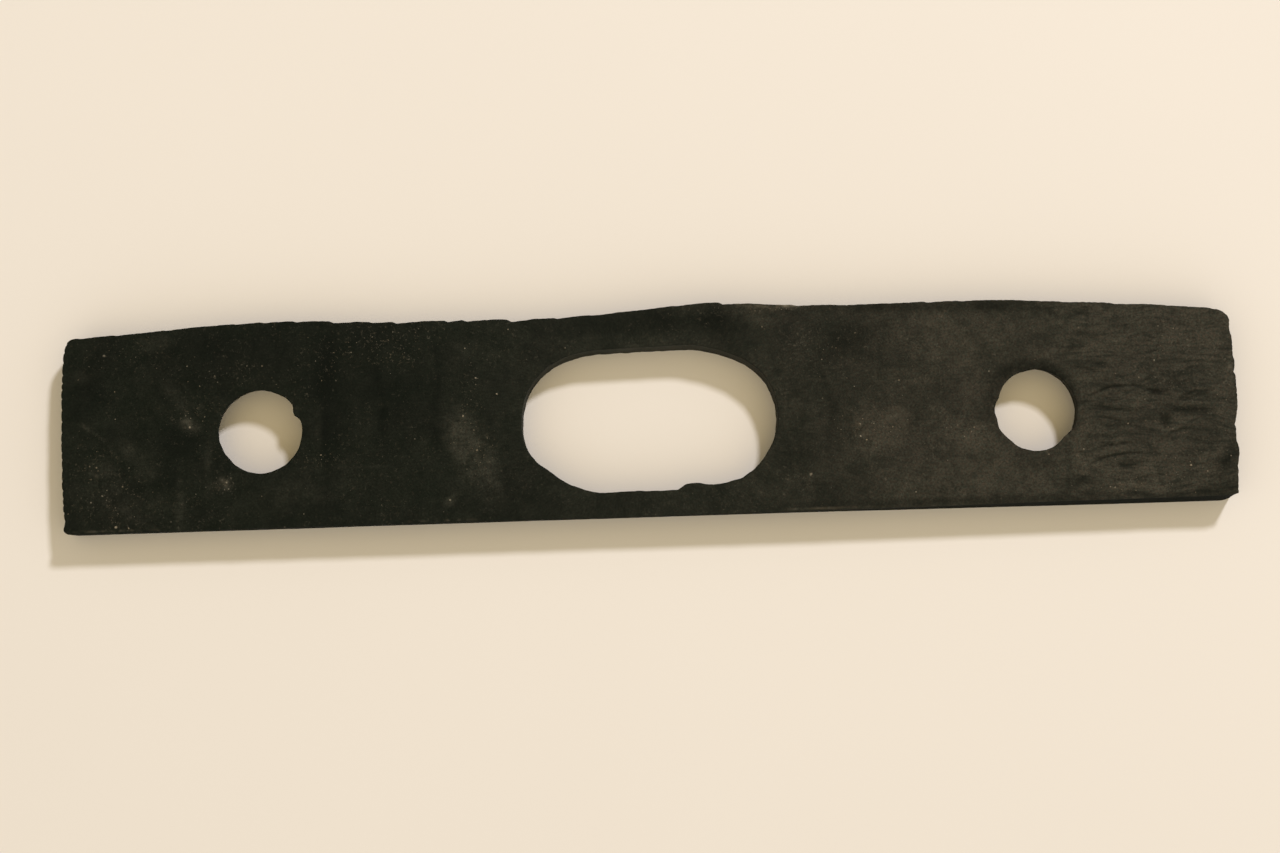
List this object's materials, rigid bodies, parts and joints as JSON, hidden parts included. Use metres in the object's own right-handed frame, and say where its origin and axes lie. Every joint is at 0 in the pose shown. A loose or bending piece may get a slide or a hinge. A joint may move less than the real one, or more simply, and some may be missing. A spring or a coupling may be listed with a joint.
{
  "type": "rubber joint strip",
  "caption": "Flat black rubber joint strip with bolt holes near its ends and an oval port between them; straight lower edge, wavy knife-cut upper edge.",
  "frame": {"origin": "on the back face, under the middle of the strip's box", "axes": "+X along the straight lower edge, +Y from that edge to the hand-cut upper edge, +Z through the sheet, out of the front face"},
  "size_m": [0.2032, 0.037, 0.005],
  "materials": {
    "black_rubber": "matt, dusty, with knife-cut edges"
  },
  "bodies": {
    "root": {"rubber_strip": "black_rubber"}
  },
  "joints": []
}
